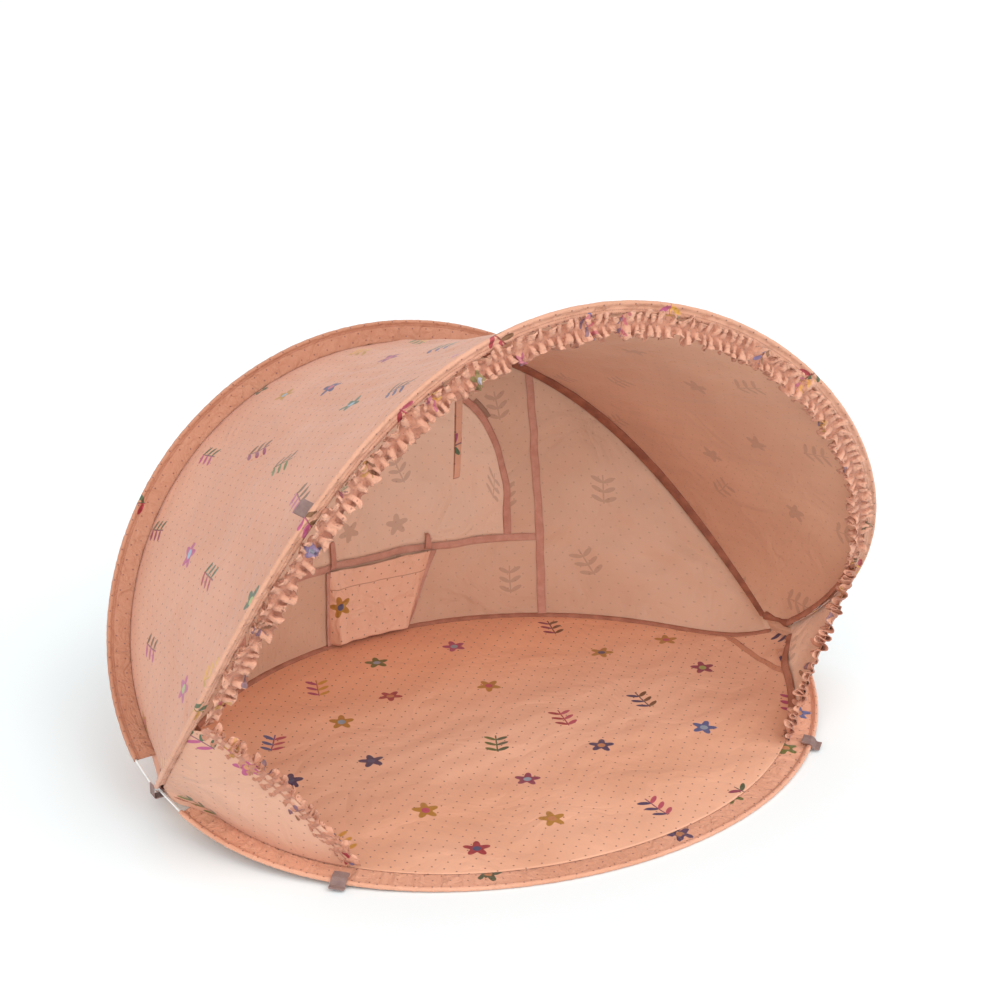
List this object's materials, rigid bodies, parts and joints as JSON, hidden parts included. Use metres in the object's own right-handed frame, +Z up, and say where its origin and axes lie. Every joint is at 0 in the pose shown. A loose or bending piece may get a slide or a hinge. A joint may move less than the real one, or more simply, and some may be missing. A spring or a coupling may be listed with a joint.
{
  "type": "pop-up beach tent",
  "caption": "Child's pop-up beach tent with sprung hoops, a printed cloth shell, a gathered frill round the opening, a ground sheet, a pocket and a covered window.",
  "frame": {"origin": "middle of the bounding box on the ground", "axes": "+X along the width, from the left crossing of the hoops to the right one as seen from the opening; +Y from the opening to the back wall; +Z up"},
  "size_m": [1.141, 0.8525, 0.7501],
  "materials": {
    "shell_cloth": "thin plain-weave cloth, peach, with small dark dots and scattered motifs on its outside",
    "ground_cloth": "thin plain-weave cloth, deeper peach, with small dark dots and scattered motifs",
    "frill_cloth": "thin plain-weave cloth, gathered",
    "seam_tape": "woven binding tape, coral",
    "window_net": "fine knitted net",
    "webbing": "woven webbing, grey-mauve",
    "spring_wire": "smooth white coated spring steel",
    "ferrule_metal": "plain crimped steel"
  },
  "bodies": {
    "rear_base": {"ground_sheet_rear": "ground_cloth", "rear_ground_sleeve": "ground_cloth", "rear_ground_wire": "spring_wire", "sun_hoop_ferrule": "ferrule_metal", "back_wall_left": "shell_cloth", "back_wall_centre": "shell_cloth", "back_wall_right": "shell_cloth", "wall_tape_left": "seam_tape", "wall_tape_right": "seam_tape", "sill_tape": "seam_tape", "window_net": "window_net", "window_cover": "shell_cloth", "window_binding": "seam_tape", "pocket": "ground_cloth", "tie_left": "seam_tape", "tie_right": "seam_tape", "crossing_loop_left": "webbing", "crossing_loop_right": "webbing"},
    "front_base": {"ground_sheet_front": "ground_cloth", "front_ground_sleeve": "ground_cloth", "front_ground_wire": "spring_wire", "shade_hoop_ferrule": "ferrule_metal", "wing_left": "shell_cloth", "wing_right": "shell_cloth", "wing_frill_left": "frill_cloth", "wing_frill_right": "frill_cloth", "peg_loop_left": "webbing", "peg_loop_right": "webbing"},
    "rear_arch": {"rear_arch_sleeve": "shell_cloth", "rear_arch_wire": "spring_wire"},
    "front_arch": {"front_arch_sleeve": "shell_cloth", "front_arch_wire": "spring_wire", "arch_frill": "frill_cloth", "roof_panel": "shell_cloth", "guy_loop_left": "webbing", "guy_loop_right": "webbing", "strap_patch": "ground_cloth", "roof_strap": "ground_cloth"}
  },
  "joints": [
    {"name": "floor_fold", "type": "hinge", "parent": "rear_base", "child": "front_base", "pos_m": [0, -0.0074, 0.059], "axis": [-1, 0, 0], "range_deg": [0, 150], "stiffness_Nm_per_rad": 6, "springref_deg": -34.38, "deforming": ["wing_left", "wing_right", "wing_frill_left", "wing_frill_right"]},
    {"name": "rear_arch_fold", "type": "hinge", "parent": "rear_base", "child": "rear_arch", "pos_m": [0, -0.0074, 0.059], "axis": [-1, 0, 0], "range_deg": [0, 30], "deforming": ["back_wall_left", "back_wall_centre", "back_wall_right", "wall_tape_left", "wall_tape_right", "window_net", "window_cover", "window_binding"]},
    {"name": "front_arch_fold", "type": "hinge", "parent": "rear_arch", "child": "front_arch", "pos_m": [0, -0.0074, 0.059], "axis": [-1, 0, 0], "range_deg": [0, 56], "deforming": ["roof_panel", "roof_strap", "strap_patch"]}
  ],
  "couplings": [
    {"joint": "rear_arch_fold", "follows": "floor_fold", "ratio": 0.2},
    {"joint": "front_arch_fold", "follows": "floor_fold", "ratio": 0.37333}
  ]
}
